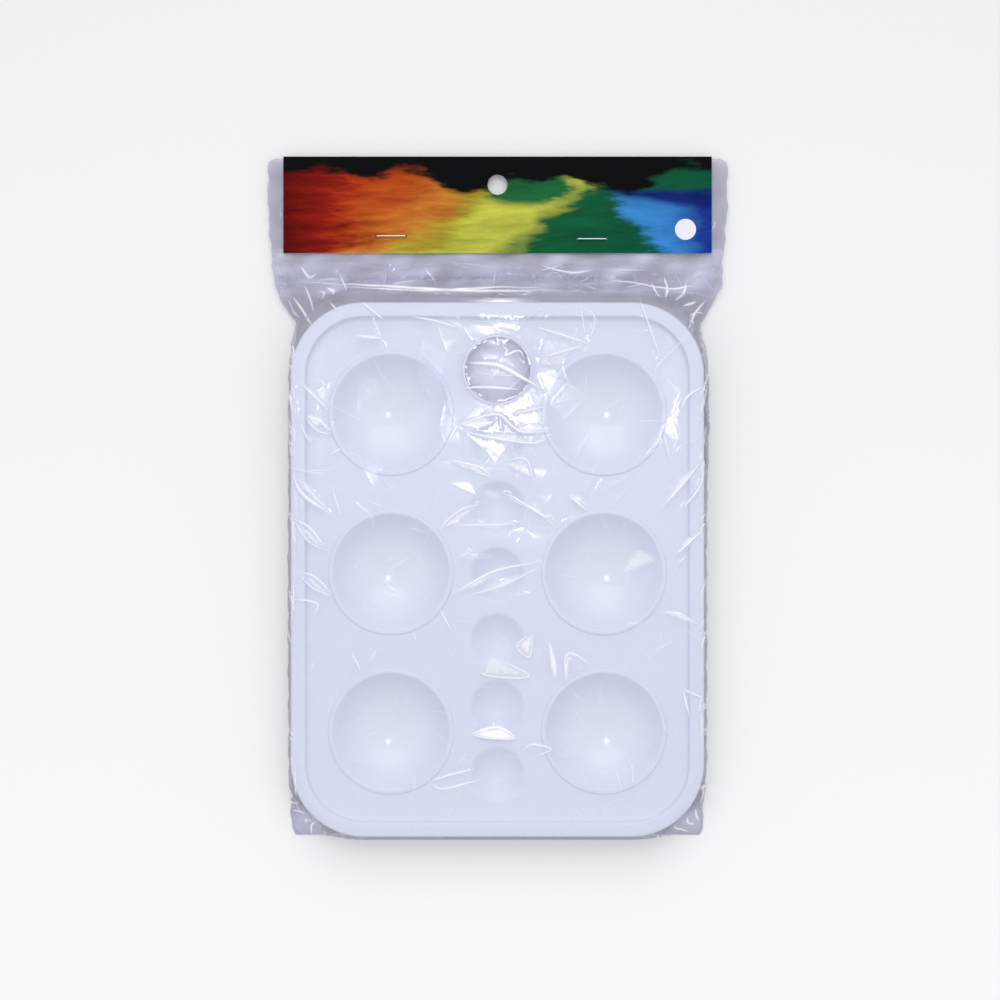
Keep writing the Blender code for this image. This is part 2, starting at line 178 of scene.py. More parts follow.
TRAY_CORNER_RADIUS = 0.030
TRAY_WALL = 0.0013
RIM_WIDTH = 0.0061
RIM_RISE = 0.0025
RIM_OUTER_ROUND = 0.0012
RIM_INNER_ROUND = 0.0007
RIM_FOOT_ROUND = 0.0016
SKIRT_HEIGHT = 0.008
DECK_INSET = RIM_WIDTH + RIM_FOOT_ROUND
WELL_EDGE_RADIUS = 0.0245
WELL_DEPTH = 0.0105
WELL_EDGE_ROUND = 0.0008
WELL_FOOT_RADIUS = 0.004
LIP_RADIUS = 0.026
LIP_RISE = 0.0007
WELL_X = 0.043964
WELL_ROWS_Y = (-0.066918, -0.001209, 0.0645)
SMALL_EDGE_RADIUS = 0.012
SMALL_DEPTH = 0.0045
SMALL_EDGE_ROUND = 0.0025
SMALL_FOOT_RADIUS = 0.002
SMALL_LOWEST_Y = -0.0844
SMALL_PITCH = 0.0274
SMALL_COUNT = 6
THUMB_Y = 0.0822
THUMB_RADIUS = 0.0134
THUMB_EDGE_ROUND = 0.0008
THUMB_COLLAR = 0.004
DECK_Z = tray_high[2] - RIM_RISE


def arc(centre, radius, start, end, steps):
    points = []
    for i in range(steps + 1):
        angle = math.radians(start + (end - start) * i / steps)
        points.append((centre[0] + radius * math.cos(angle), centre[1] + radius * math.sin(angle)))
    return points


def bridge(mesh_data, first, second):
    for i in range(len(first)):
        j = (i + 1) % len(first)
        mesh_data.faces.new((first[i], first[j], second[j], second[i]))


def skin(mesh_data, rings):
    layers = [[mesh_data.verts.new(point) for point in ring] for ring in rings]
    for first, second in zip(layers, layers[1:]):
        bridge(mesh_data, first, second)
    return layers


def rounded_rectangle(half_width, half_length, radius, z, steps=24):
    ring = []
    for corner, (side_x, side_y) in enumerate(((1, 1), (-1, 1), (-1, -1), (1, -1))):
        centre = (side_x * (half_width - radius), side_y * (half_length - radius))
        for x, y in arc(centre, radius, 90 * corner, 90 * corner + 90, steps):
            ring.append((x, y + TRAY_MIDDLE[1], z))
    return ring


def circle(centre, radius, z, segments):
    ring = []
    for i in range(segments):
        angle = 2 * math.pi * i / segments
        ring.append((centre[0] + radius * math.cos(angle), centre[1] + radius * math.sin(angle), z))
    return ring


def rim_profile():
    foot = [(DECK_INSET - x, z) for x, z in arc((0, RIM_FOOT_ROUND), RIM_FOOT_ROUND, 270, 360, 9)]
    shoulder_centre = (RIM_WIDTH - RIM_INNER_ROUND, RIM_RISE - RIM_INNER_ROUND)
    shoulder = arc(shoulder_centre, RIM_INNER_ROUND, 0, 90, 5)
    edge = arc((RIM_OUTER_ROUND, RIM_RISE - RIM_OUTER_ROUND), RIM_OUTER_ROUND, 90, 180, 7)
    skirt_foot = RIM_RISE - SKIRT_HEIGHT
    ceiling = RIM_RISE - TRAY_WALL
    channel = RIM_WIDTH - TRAY_WALL
    under = [(0, skirt_foot), (TRAY_WALL, skirt_foot), (TRAY_WALL, ceiling), (channel, ceiling)]
    return foot + shoulder + edge + under + [(channel, -TRAY_WALL)]


def dish_sphere(edge_radius, depth, edge_round):
    centre = (edge_radius**2 - depth**2 - 2 * depth * edge_round) / (2 * depth)
    radius = centre + depth
    return centre, radius, math.asin(edge_radius / (radius + edge_round))


def dish_top(edge_radius, depth, edge_round, steps):
    centre, radius, turn = dish_sphere(edge_radius, depth, edge_round)
    profile = arc((edge_radius, -edge_round), edge_round, 90, 90 + math.degrees(turn), 6)
    for i in range(1, steps + 1):
        angle = turn * (1 - i / steps)
        profile.append((radius * math.sin(angle), centre - radius * math.cos(angle)))
    return profile


def dish_under(edge_radius, depth, edge_round, deck_under, foot_radius, steps):
    centre, radius, turn = dish_sphere(edge_radius, depth, edge_round)
    radius += TRAY_WALL
    under_round = edge_round - TRAY_WALL
    profile = []
    if under_round > 0:
        profile = arc((edge_radius, -edge_round), under_round, 90, 90 + math.degrees(turn), 3)[:-1]
    else:
        turn = math.acos((centre - deck_under) / radius)
    last = math.asin(foot_radius / radius)
    for i in range(steps + 1):
        angle = turn + (last - turn) * i / steps
        profile.append((radius * math.sin(angle), centre - radius * math.cos(angle)))
    return profile


def add_dish(mesh_data, centre, profile, segments):
    flat_foot = profile[-1][0] > 1e-6
    rings = profile if flat_foot else profile[:-1]
    layers = skin(mesh_data, [circle(centre, r, DECK_Z + z, segments) for r, z in rings])
    tip = mesh_data.verts.new((centre[0], centre[1], DECK_Z + profile[-1][1]))
    last = layers[-1]
    for a, b in zip(last, last[1:] + last[:1]):
        mesh_data.faces.new((a, b, tip))
    return layers[0]


def build_tray():
    mesh_data = bmesh.new()
    rim = []
    for inset, height in rim_profile():
        half = (TRAY_HALF_WIDTH - inset, TRAY_HALF_LENGTH - inset)
        rim.append(rounded_rectangle(*half, TRAY_CORNER_RADIUS - inset, DECK_Z + height))
    rim_layers = skin(mesh_data, rim)
    top_rings = [rim_layers[0]]
    under_rings = [rim_layers[-1]]

    well = (WELL_EDGE_RADIUS, WELL_DEPTH + LIP_RISE, WELL_EDGE_ROUND)
    lip = arc((LIP_RADIUS - LIP_RISE, 0), LIP_RISE, 0, 90, 5)
    well_inside = lip + [(r, z + LIP_RISE) for r, z in dish_top(*well, 18)]
    well_under = dish_under(*well, -TRAY_WALL - LIP_RISE, WELL_FOOT_RADIUS, 10)
    well_under = [(r, z + LIP_RISE) for r, z in well_under]
    small = (SMALL_EDGE_RADIUS, SMALL_DEPTH, SMALL_EDGE_ROUND)
    small_inside = dish_top(*small, 10)
    small_under = dish_under(*small, -TRAY_WALL, SMALL_FOOT_RADIUS, 5)
    dishes = []
    for row_y in WELL_ROWS_Y:
        for side in (-1, 1):
            dishes.append(((side * WELL_X, row_y + TRAY_MIDDLE[1]), well_inside, well_under, 112))
    for i in range(SMALL_COUNT):
        centre = (0, SMALL_LOWEST_Y + i * SMALL_PITCH + TRAY_MIDDLE[1])
        dishes.append((centre, small_inside, small_under, 72))
    for centre, inside, outside, segments in dishes:
        top_rings.append(add_dish(mesh_data, centre, inside, segments))
        under_rings.append(add_dish(mesh_data, centre, outside, segments))

    edge = arc((THUMB_RADIUS + THUMB_EDGE_ROUND, -THUMB_EDGE_ROUND), THUMB_EDGE_ROUND, 90, 180, 5)
    collar = [(THUMB_RADIUS, -THUMB_COLLAR), (THUMB_RADIUS + TRAY_WALL, -THUMB_COLLAR)]
    collar.append((THUMB_RADIUS + TRAY_WALL, -TRAY_WALL))
    thumb = (0, THUMB_Y + TRAY_MIDDLE[1])
    collar_layers = skin(mesh_data, [circle(thumb, r, DECK_Z + z, 80) for r, z in edge + collar])
    top_rings.append(collar_layers[0])
    under_rings.append(collar_layers[-1])
    for rings in (top_rings, under_rings):
        edges = []
        for ring in rings:
            edges += [mesh_data.edges.get((a, b)) for a, b in zip(ring, ring[1:] + ring[:1])]
        bmesh.ops.triangle_fill(mesh_data, use_beauty=True, edges=edges, normal=(0, 0, 1))
    bmesh.ops.recalc_face_normals(mesh_data, faces=mesh_data.faces)
    return add_object("tray_moulding", mesh_data, 32)


# Film

PLATEAU_Z = pouch_high[2] - 0.00008  # the film over the tray's rim
SAG = 0.0014  # how far the film hangs between the rims
SAG_REACH = 0.016
LOWEST_TOP_Z = DECK_Z + LIP_RISE + 0.0002  # just over the wells' lips
FACET_HEIGHT = 0.00010
FILM_EDGE_GAP = 0.0004  # from the tray's side to the film
BAG_END_Y = pouch_low[1]
MOUTH_Y = mouth_high[1]
CARD_LOW_Y = card_low[1]
NECK_TOP_Z = mouth_high[2]
NECK_UNDER_Z = mouth_low[2]
FILM_STEP = 0.0013
UNDER_STEP = 0.004
SEAM_Z = 0.00022  # the side seams over the table
UNDER_Z = 0.00012  # the film under the tray over the table
SEAM_RISE = (FOLD_Y - 0.030, FOLD_Y - 0.002)  # where the seams come up to the neck
FOLD_REACH = 0.0008  # the fold bends over this length on each side of its line
CREASE_STEP = 0.0009
PLEAT_PITCH = 0.0118
HANG_HOLE = (0.0, frame["record"]["mounts"][1]["pos_m"][1])
HANG_HOLE_RADIUS = 0.0042

# Half the bag's width along its length, as (mm up from the tray's middle, left, right)
OUTLINE = [
    (-112.5, 85.6, 85.2),
    (-109, 86.6, 86.4),
    (-100, 87.1, 86.9),
    (-70, 86.9, 87.1),
    (-30, 87.3, 87.2),
    (0, 87.3, 87.0),
    (30, 87.0, 87.3),
    (60, 87.2, 88.8),
    (80, 86.8, 88.4),
    (87, 86.5, 87.6),
    (92, 85.8, 86.6),
    (100, 84.9, 85.3),
    (104, 85.6, 86.0),
    (110, 89.6, 90.0),
    (118, 93.6, 94.2),
    (133, 95.2, 95.0),
    (150, 96.4, 96.6),
    (166, 96.6, 96.6),
]

# Creases that stand up in the film: points in mm from the tray's middle, width, height, whiteness
# (stress-whitening along the crease together with a painted glint)
CREASES = [
    # between the upper wells and over the thumb hole
    ([(-13, 85), (0, 84), (10, 79), (19, 74)], 2.2, 0.50, 1.0),
    ([(-16, 74), (-7, 75), (10, 74)], 1.4, 0.35, 0.9),
    ([(-17, 59), (-6, 63), (1, 63.5), (6, 59), (11, 56.5), (23, 57)], 1.8, 0.50, 1.0),
    ([(1, 63), (1.5, 57)], 1.4, 0.35, 0.9),
    ([(6, 64), (20, 67)], 1.3, 0.35, 0.8),
    ([(-17, 58), (-10, 56), (-1, 54), (15, 52), (22, 55)], 1.8, 0.50, 1.0),
    ([(-20, 45), (-7, 42), (-2, 37)], 1.7, 0.45, 1.0),
    ([(-6, 42), (-3, 46)], 1.3, 0.35, 0.9),
    ([(3, 45), (12, 45), (15, 34)], 1.4, 0.35, 0.8),
    ([(1, 93), (4, 90), (3, 88), (9, 90), (11, 86)], 1.3, 0.35, 0.9),
    # between the middle wells
    ([(2, 30), (6, 30), (19, 22), (22, 22), (25, 17)], 1.7, 0.45, 1.0),
    ([(29, 31), (37, 24)], 1.8, 0.40, 0.9),
    ([(-25, 16), (-16, 24), (-7, 27)], 1.5, 0.40, 0.9),
    ([(-18, 18), (1, 18.5), (9, 19)], 1.3, 0.35, 0.9),
    ([(-16, 5), (-10.5, 7.5)], 1.1, 0.30, 0.8),
    ([(-20, -11), (-8, -4), (1, 0), (17, 3)], 1.7, 0.45, 1.0),
    ([(-13, -11), (1, -7), (18, 1)], 1.3, 0.35, 0.8),
    ([(-24, -16), (-19, -25)], 1.3, 0.35, 0.8),
    # left side
    ([(-58, 96), (-47, 95)], 2.2, 0.40, 0.8),
    ([(-56, 110), (-46, 102)], 1.5, 0.35, 0.9),
    ([(-69, 110), (-66, 107), (-64, 109)], 1.2, 0.30, 0.8),
    ([(-36, 104), (-25, 102), (-15, 99)], 1.5, 0.35, 0.9),
    ([(-81, 77), (-75, 71), (-70, 66)], 1.8, 0.45, 1.0),
    ([(-73, 78), (-70, 75)], 1.2, 0.30, 0.8),
    ([(-79, 63), (-73, 61), (-68, 56)], 1.6, 0.45, 1.0),
    ([(-79, 62.5), (-74, 57), (-68, 55.5)], 1.3, 0.35, 0.9),
    ([(-81, 60), (-77, 52)], 1.3, 0.35, 0.9),
    ([(-69, 47), (-64, 50)], 1.3, 0.35, 0.9),
    ([(-84, 39), (-80, 31), (-69, 23)], 2.2, 0.55, 1.0),
    ([(-68, 34), (-64, 21)], 1.3, 0.35, 0.8),
    ([(-84, 21), (-77, 17), (-70, 8)], 1.6, 0.45, 1.0),
    ([(-84, 20.5), (-78, 12), (-70, 7.5)], 1.3, 0.35, 0.8),
    ([(-82, -1), (-75, -3), (-67, -11)], 1.6, 0.45, 0.9),
    ([(-82, -2), (-75, -8), (-67, -11.5)], 1.3, 0.35, 0.8),
    ([(-84, -12), (-74, -14), (-76, -20)], 1.5, 0.40, 0.9),
    ([(-60, -34), (-56, -42)], 1.6, 0.35, 0.8),
    ([(-50, -33), (-52, -38)], 1.2, 0.30, 0.8),
    # right side
    ([(15, 100), (34, 94), (37, 92)], 1.6, 0.40, 0.9),
    ([(18, 87), (35, 92)], 1.6, 0.40, 0.9),
    ([(34, 109), (36, 96)], 1.2, 0.30, 0.8),
    ([(36, 108), (40, 103), (38, 94)], 1.2, 0.30, 0.8),
    ([(58, 112), (62, 101), (67, 87)], 1.4, 0.40, 0.9),
    ([(64, 82), (78, 96)], 1.2, 0.30, 0.5),
    ([(75, 65), (78, 71), (84, 75)], 1.6, 0.45, 1.0),
    ([(68, 57), (71, 45)], 1.3, 0.35, 0.8),
    ([(67, 25), (76, 35), (84, 45)], 1.8, 0.45, 1.0),
    ([(75, 24), (83, 34), (85, 45)], 1.6, 0.45, 0.9),
    ([(73, 6), (84, 16)], 1.8, 0.45, 1.0),
    ([(74, 2.5), (78, 6)], 1.2, 0.30, 0.8),
    ([(67, -18), (74, -18), (83, -23)], 1.4, 0.35, 0.8),
    # lower middle
    ([(15, -26), (13, -36), (8, -31), (15, -26)], 1.2, 0.35, 0.9),
    ([(21, -30), (23, -38), (24, -46)], 2.4, 0.40, 0.8),
    ([(28, -47), (28, -36), (32, -35), (39, -40)], 1.6, 0.40, 0.9),
    ([(-3, -35), (-6, -43), (13, -44), (-3, -35)], 1.3, 0.35, 0.9),
    ([(-12, -68), (0, -65), (9, -70)], 2.4, 0.50, 1.0),
    ([(-12, -68), (-2, -69.5), (9, -70)], 1.6, 0.40, 0.9),
    ([(10, -75), (14, -72), (22, -74), (15, -77)], 1.4, 0.40, 0.9),
    ([(-28, -87), (-18, -84), (-9, -82)], 1.5, 0.40, 1.0),
    ([(-28, -87.5), (-22, -90), (-6, -86)], 1.4, 0.35, 0.9),
    ([(76, -49), (79, -61)], 1.6, 0.45, 1.0),
    ([(76, -49), (85, -53)], 1.4, 0.35, 0.9),
    ([(49, -83), (51, -91)], 1.0, 0.30, 0.7),
    ([(55, -79), (56, -89)], 1.0, 0.30, 0.7),
    # neck, under the card
    ([(-71, 119), (-45, 117), (-18, 115), (8, 114.5), (22, 115.5)], 2.4, 0.55, 1.0),
    ([(-66, 117), (-30, 114.8), (0, 116.5), (20, 116)], 1.6, 0.40, 0.9),
    ([(-83, 127), (-79, 122), (-76, 124)], 1.6, 0.40, 0.8),
    ([(-30, 125), (-26, 120)], 1.6, 0.35, 0.7),
    ([(18, 127), (31, 124), (40, 125)], 1.6, 0.35, 0.7),
    ([(46, 121), (70, 117), (84, 119)], 1.6, 0.40, 0.8),
    ([(-86, 114), (-80, 106), (-76, 100)], 1.8, 0.45, 0.9),
    ([(88, 113), (82, 106), (78, 98)], 1.8, 0.45, 0.9),
]

# Facets of the film painted bright, a painted reflection of the lamp: corners in mm from the tray's middle,
# whiteness
PAINTED_FACET_GLINTS = [
    ([(15, -26), (13, -36), (8, -31)], 0.8),
    ([(-3, -35), (-6, -43), (13, -44)], 0.55),
    ([(20.5, -29), (22.5, -31), (25, -40), (24, -47), (21.5, -40)], 0.7),
    ([(28, -47), (27.2, -40), (28, -36), (32, -34.5), (29.8, -38), (29.4, -43)], 0.7),
    ([(-12, -68), (-5, -65.6), (2, -65), (9, -70), (0, -69.8)], 0.9),
    ([(67, -17), (75, -17), (83, -23), (74, -20)], 0.7),
    ([(17, 84), (19, 95), (31, 93), (27, 84)], 0.35),
    ([(-17, 60), (-6, 63.4), (-1, 60.6), (-8, 57.5)], 0.7),
    ([(6, 58), (13, 56.2), (23, 58), (13, 60)], 0.7),
    ([(-10, 54.8), (3, 53), (14, 52), (6, 56.4)], 0.5),
    ([(-20, 45), (-9, 43.4), (-3, 38), (-12, 41)], 0.7),
    ([(4, 44), (12, 44.4), (14, 38), (8, 40)], 0.6),
    ([(-25, 16), (-16, 23.6), (-8, 26.6), (-15, 20)], 0.6),
    ([(4, 29.6), (18, 22.2), (24, 17.6), (16, 26)], 0.65),
    ([(30, 30), (37, 25), (34, 31)], 0.7),
    ([(-20, -10.6), (-9, -4.4), (0, -0.6), (-8, -7)], 0.65),
    ([(-11, -10.4), (2, -6.6), (16, 0), (4, -3.6)], 0.5),
    ([(-70, 62), (-79, 64), (-75, 58)], 0.6),
    ([(-83, 38), (-79, 32), (-70, 25), (-78, 36)], 0.6),
    ([(-84, 20.6), (-77, 16), (-71, 9), (-78, 12.6)], 0.55),
    ([(-81, -1.8), (-75, -3.6), (-68, -11), (-75, -7.4)], 0.5),
    ([(68, 26), (76, 34), (83, 44), (75, 38)], 0.6),
    ([(74, 7), (83, 15), (77, 13)], 0.6),
    ([(58, 9), (50, -2), (66, 4)], 0.45),
]

# Milky patches of the film, most of them painted sheen where it would catch the lamp; the ones over the thumb
# hole and at the bag's lower corners paint those shaded places lighter: (x, y) in mm from the tray's middle,
# reach across and along, turn, strength
MILKY_AND_PAINTED_LIGHT = [
    (0, 82.2, 21, 21, 0, 1.0),
    (-26, 82, 9, 14, 20, 0.5),
    (19, 91, 9, 8, -20, 0.35),
    (10, 40, 7, 6, -40, 0.35),
    (-53, 95, 8, 3, 0, 0.4),
    (-55, 43, 5, 3, 0, 0.35),
    (33, 28, 6, 3, -38, 0.4),
    (23, -38, 3, 9, 8, 0.4),
    (31, -41, 4, 6, 20, 0.35),
    (-1, -67, 9, 3, 0, 0.5),
    (-73, 59, 6, 3, -32, 0.4),
    (-77, 14, 8, 3, -42, 0.35),
    (-75, -6, 8, 3, -35, 0.3),
    (-77, 30, 8, 3, -48, 0.35),
    (80, 30, 7, 4, 48, 0.35),
    (77, 10, 7, 3, 40, 0.35),
    (-80, -106, 12, 12, 0, 0.75),
    (80, -106, 12, 12, 0, 0.75),
    (-45, 119, 28, 6, 0, 0.4),
    (8, 118, 24, 5, 0, 0.4),
]


def half_width(y, side):
    """Half the bag's width at y, on the left (side 0) or the right (side 1)."""
    ups = np.array([up for up, _, _ in OUTLINE]) * MM + TRAY_MIDDLE[1]
    halves = np.array([halves[side] for _, *halves in OUTLINE]) * MM
    width = np.interp(y, ups, halves)
    wave = 0.0003 * np.sin(y * 410 + 2 * side) + 0.0002 * np.sin(y * 930 + side)
    corner = 0.003
    over = np.clip(y - (MOUTH_Y - corner), 0, corner)
    return width + wave - (corner - np.sqrt(np.maximum(corner**2 - over**2, 0)))


def tray_distance(x, y):
    """Distance outside the space that the tray uses as it slides, and negative inside it."""
    half_x = TRAY_HALF_WIDTH + FILM_EDGE_GAP
    half_y = TRAY_HALF_LENGTH + FILM_EDGE_GAP + SLIDE / 2
    radius = TRAY_CORNER_RADIUS + FILM_EDGE_GAP
    dx = np.abs(x) - (half_x - radius)
    dy = np.abs(y - TRAY_MIDDLE[1] - SLIDE / 2) - (half_y - radius)
    outside = np.hypot(np.maximum(dx, 0), np.maximum(dy, 0))
    return outside + np.minimum(np.maximum(dx, dy), 0) - radius


def smoothstep(low, high, value):
    share = np.clip((value - low) / (high - low), 0, 1)
    return share * share * (3 - 2 * share)


def soft_waves(x, y, number, shortest, longest, count):
    """Gentle waves in every direction, about 1 high."""
    random = np.random.default_rng(SEED + number)
    total = np.zeros_like(x)
    for _ in range(count):
        length = random.uniform(shortest, longest)
        angle = random.uniform(0, math.pi)
        phase = random.uniform(0, 2 * math.pi)
        along = x * math.cos(angle) + y * math.sin(angle)
        total += np.sin(2 * math.pi * along / length + phase)
    return total / math.sqrt(count)


def segment_distance(x, y, start, end):
    """Distance to a segment, and how far along it the nearest point lies, 0 to 1."""
    ax, ay = start
    bx, by = end
    length = (bx - ax) ** 2 + (by - ay) ** 2
    share = np.clip(((x - ax) * (bx - ax) + (y - ay) * (by - ay)) / length, 0, 1)
    return np.hypot(x - ax - share * (bx - ax), y - ay - share * (by - ay)), share


def facet_depth(x, y, corners):
    """How far inside the outline through corners a place lies, and 0 outside it."""
    depth = np.full(len(x), 1.0)
    inside = np.full(len(x), False)
    for (ax, ay), (bx, by) in zip(corners, corners[1:] + corners[:1]):
        depth = np.minimum(depth, segment_distance(x, y, (ax, ay), (bx, by))[0])
        crosses = (ay > y) != (by > y)
        rise = by - ay if by != ay else 1.0
        inside ^= crosses & (x < ax + (y - ay) / rise * (bx - ax))
    return np.where(inside, depth, 0.0)


def near_path(x, y, flat, width):
    """Which places lie in the box round a path."""
    low, high = flat.min(axis=0) - width, flat.max(axis=0) + width
    return (x > low[0]) & (x < high[0]) & (y > low[1]) & (y < high[1])


def random_creases(random):
    """Faint short creases all over the tray and stronger ones down the bag's sides and in its neck."""
    creases = []
    for _ in range(60):
        x = random.uniform(-82, 82)
        y = random.uniform(-106, 108)
        pull = math.atan2(y * 0.7, x) + random.normal(0, 0.5)
        length = random.uniform(5, 16)
        turn = random.normal(0, 0.06)
        middle = (x, y)
        start = (x - length / 2 * math.cos(pull - turn), y - length / 2 * math.sin(pull - turn))
        end = (x + length / 2 * math.cos(pull + turn), y + length / 2 * math.sin(pull + turn))
        creases.append(([start, middle, end], random.uniform(0.9, 1.3), 0.2, random.uniform(0.1, 0.4)))
    for side in (-1, 1):
        for _ in range(26):
            y = random.uniform(-104, 92)
            x = side * random.uniform(82.5, 85)
            length = random.uniform(4, 13)
            slant = random.uniform(-4.5, 0.5) * side
            points = [(x, y), (x - slant * 0.4, y + length / 2), (x - slant, y + length)]
            creases.append((points, random.uniform(1.0, 1.5), 0.35, random.uniform(0.4, 0.9)))
    for _ in range(16):
        x = random.uniform(-86, 86)
        y = random.uniform(113, 126)
        length = random.uniform(5, 16)
        angle = random.normal(0, 0.5)
        end = (x + length * math.cos(angle), y + length * math.sin(angle) * 0.4)
        creases.append(([(x, y), end], random.uniform(1.1, 1.6), 0.3, random.uniform(0.1, 0.45)))
    return creases


def facet_net(random):
    """Corners, heights and triangles of the flat facets that the film creases into, in metres."""
    places = []
    rows, columns = 27, 18
    for row in range(rows):
        for column in range(columns):
            x = (column + 0.5 * (row % 2) - (columns - 0.5) / 2) * 10.5
            y = (row - (rows - 1) / 2) * 9.2
            places.append(Vector(((x + random.uniform(-3.5, 3.5)) * MM, (y + random.uniform(-3, 3)) * MM)))
    places, edges, faces, _, _, _ = delaunay_2d_cdt(places, [], [], 0, 1e-6, False)
    places = np.array([(x, y + TRAY_MIDDLE[1] + 0.006) for x, y in places])
    return places, random.normal(0, FACET_HEIGHT, len(places)), edges, faces


def facet_height(x, y, net):
    places, heights, _, faces = net
    total = np.zeros_like(x)
    for face in faces:
        (ax, ay), (bx, by), (cx, cy) = (places[i] for i in face)
        area = (bx - ax) * (cy - ay) - (cx - ax) * (by - ay)
        first = ((bx - x) * (cy - y) - (cx - x) * (by - y)) / area
        second = ((cx - x) * (ay - y) - (ax - x) * (cy - y)) / area
        third = 1 - first - second
        inside = (first >= 0) & (second >= 0) & (third >= 0)
        mixed = first * heights[face[0]] + second * heights[face[1]] + third * heights[face[2]]
        total[inside] = mixed[inside]
    return total


def fan_creases(random):
    """Folds that run out from the tray's corners to the corners of the bag."""
    creases = []
    for side in (-1, 1):
        for count, centre, reach, first, last in (
            (9, (side * 55, -80), (31, 42), 200, 268),
            (6, (side * 60, 88), (26, 40), 30, 80),
        ):
            for i in range(count):
                angle = first + (last - first) * (i + random.uniform(-0.3, 0.3)) / (count - 1)
                angle = math.radians(angle if side < 0 or last < 100 else 540 - angle)
                if side < 0 and last < 100:
                    angle = math.pi - angle
                start = random.uniform(reach[0] - 3, reach[0] + 2)
                end = random.uniform(reach[0] + 5, reach[1])
                points = []
                for step in (0, 0.5, 1):
                    out = start + (end - start) * step
                    bend = angle + 0.06 * math.sin(3 * step + i)
                    points.append((centre[0] + out * math.cos(bend), centre[1] + out * math.sin(bend)))
                creases.append((points, random.uniform(1.2, 2.0), 0.45, random.uniform(0.5, 1.0)))
    return creases


def smooth_path(points, step):
    """Points about step apart on a soft curve through points."""
    points = [Vector((x * MM, y * MM + TRAY_MIDDLE[1])) for x, y in points]
    padded = [2 * points[0] - points[1]] + points + [2 * points[-1] - points[-2]]
    path = []
    for a, b, c, d in zip(padded, padded[1:], padded[2:], padded[3:]):
        pieces = max(2, round((c - b).length / step))
        for i in range(pieces):
            t = i / pieces
            bend = (2 * a - 5 * b + 4 * c - d) * t**2 + (3 * b - a - 3 * c + d) * t**3
            path.append(0.5 * (2 * b + (c - a) * t + bend))
    return path + [points[-1]]


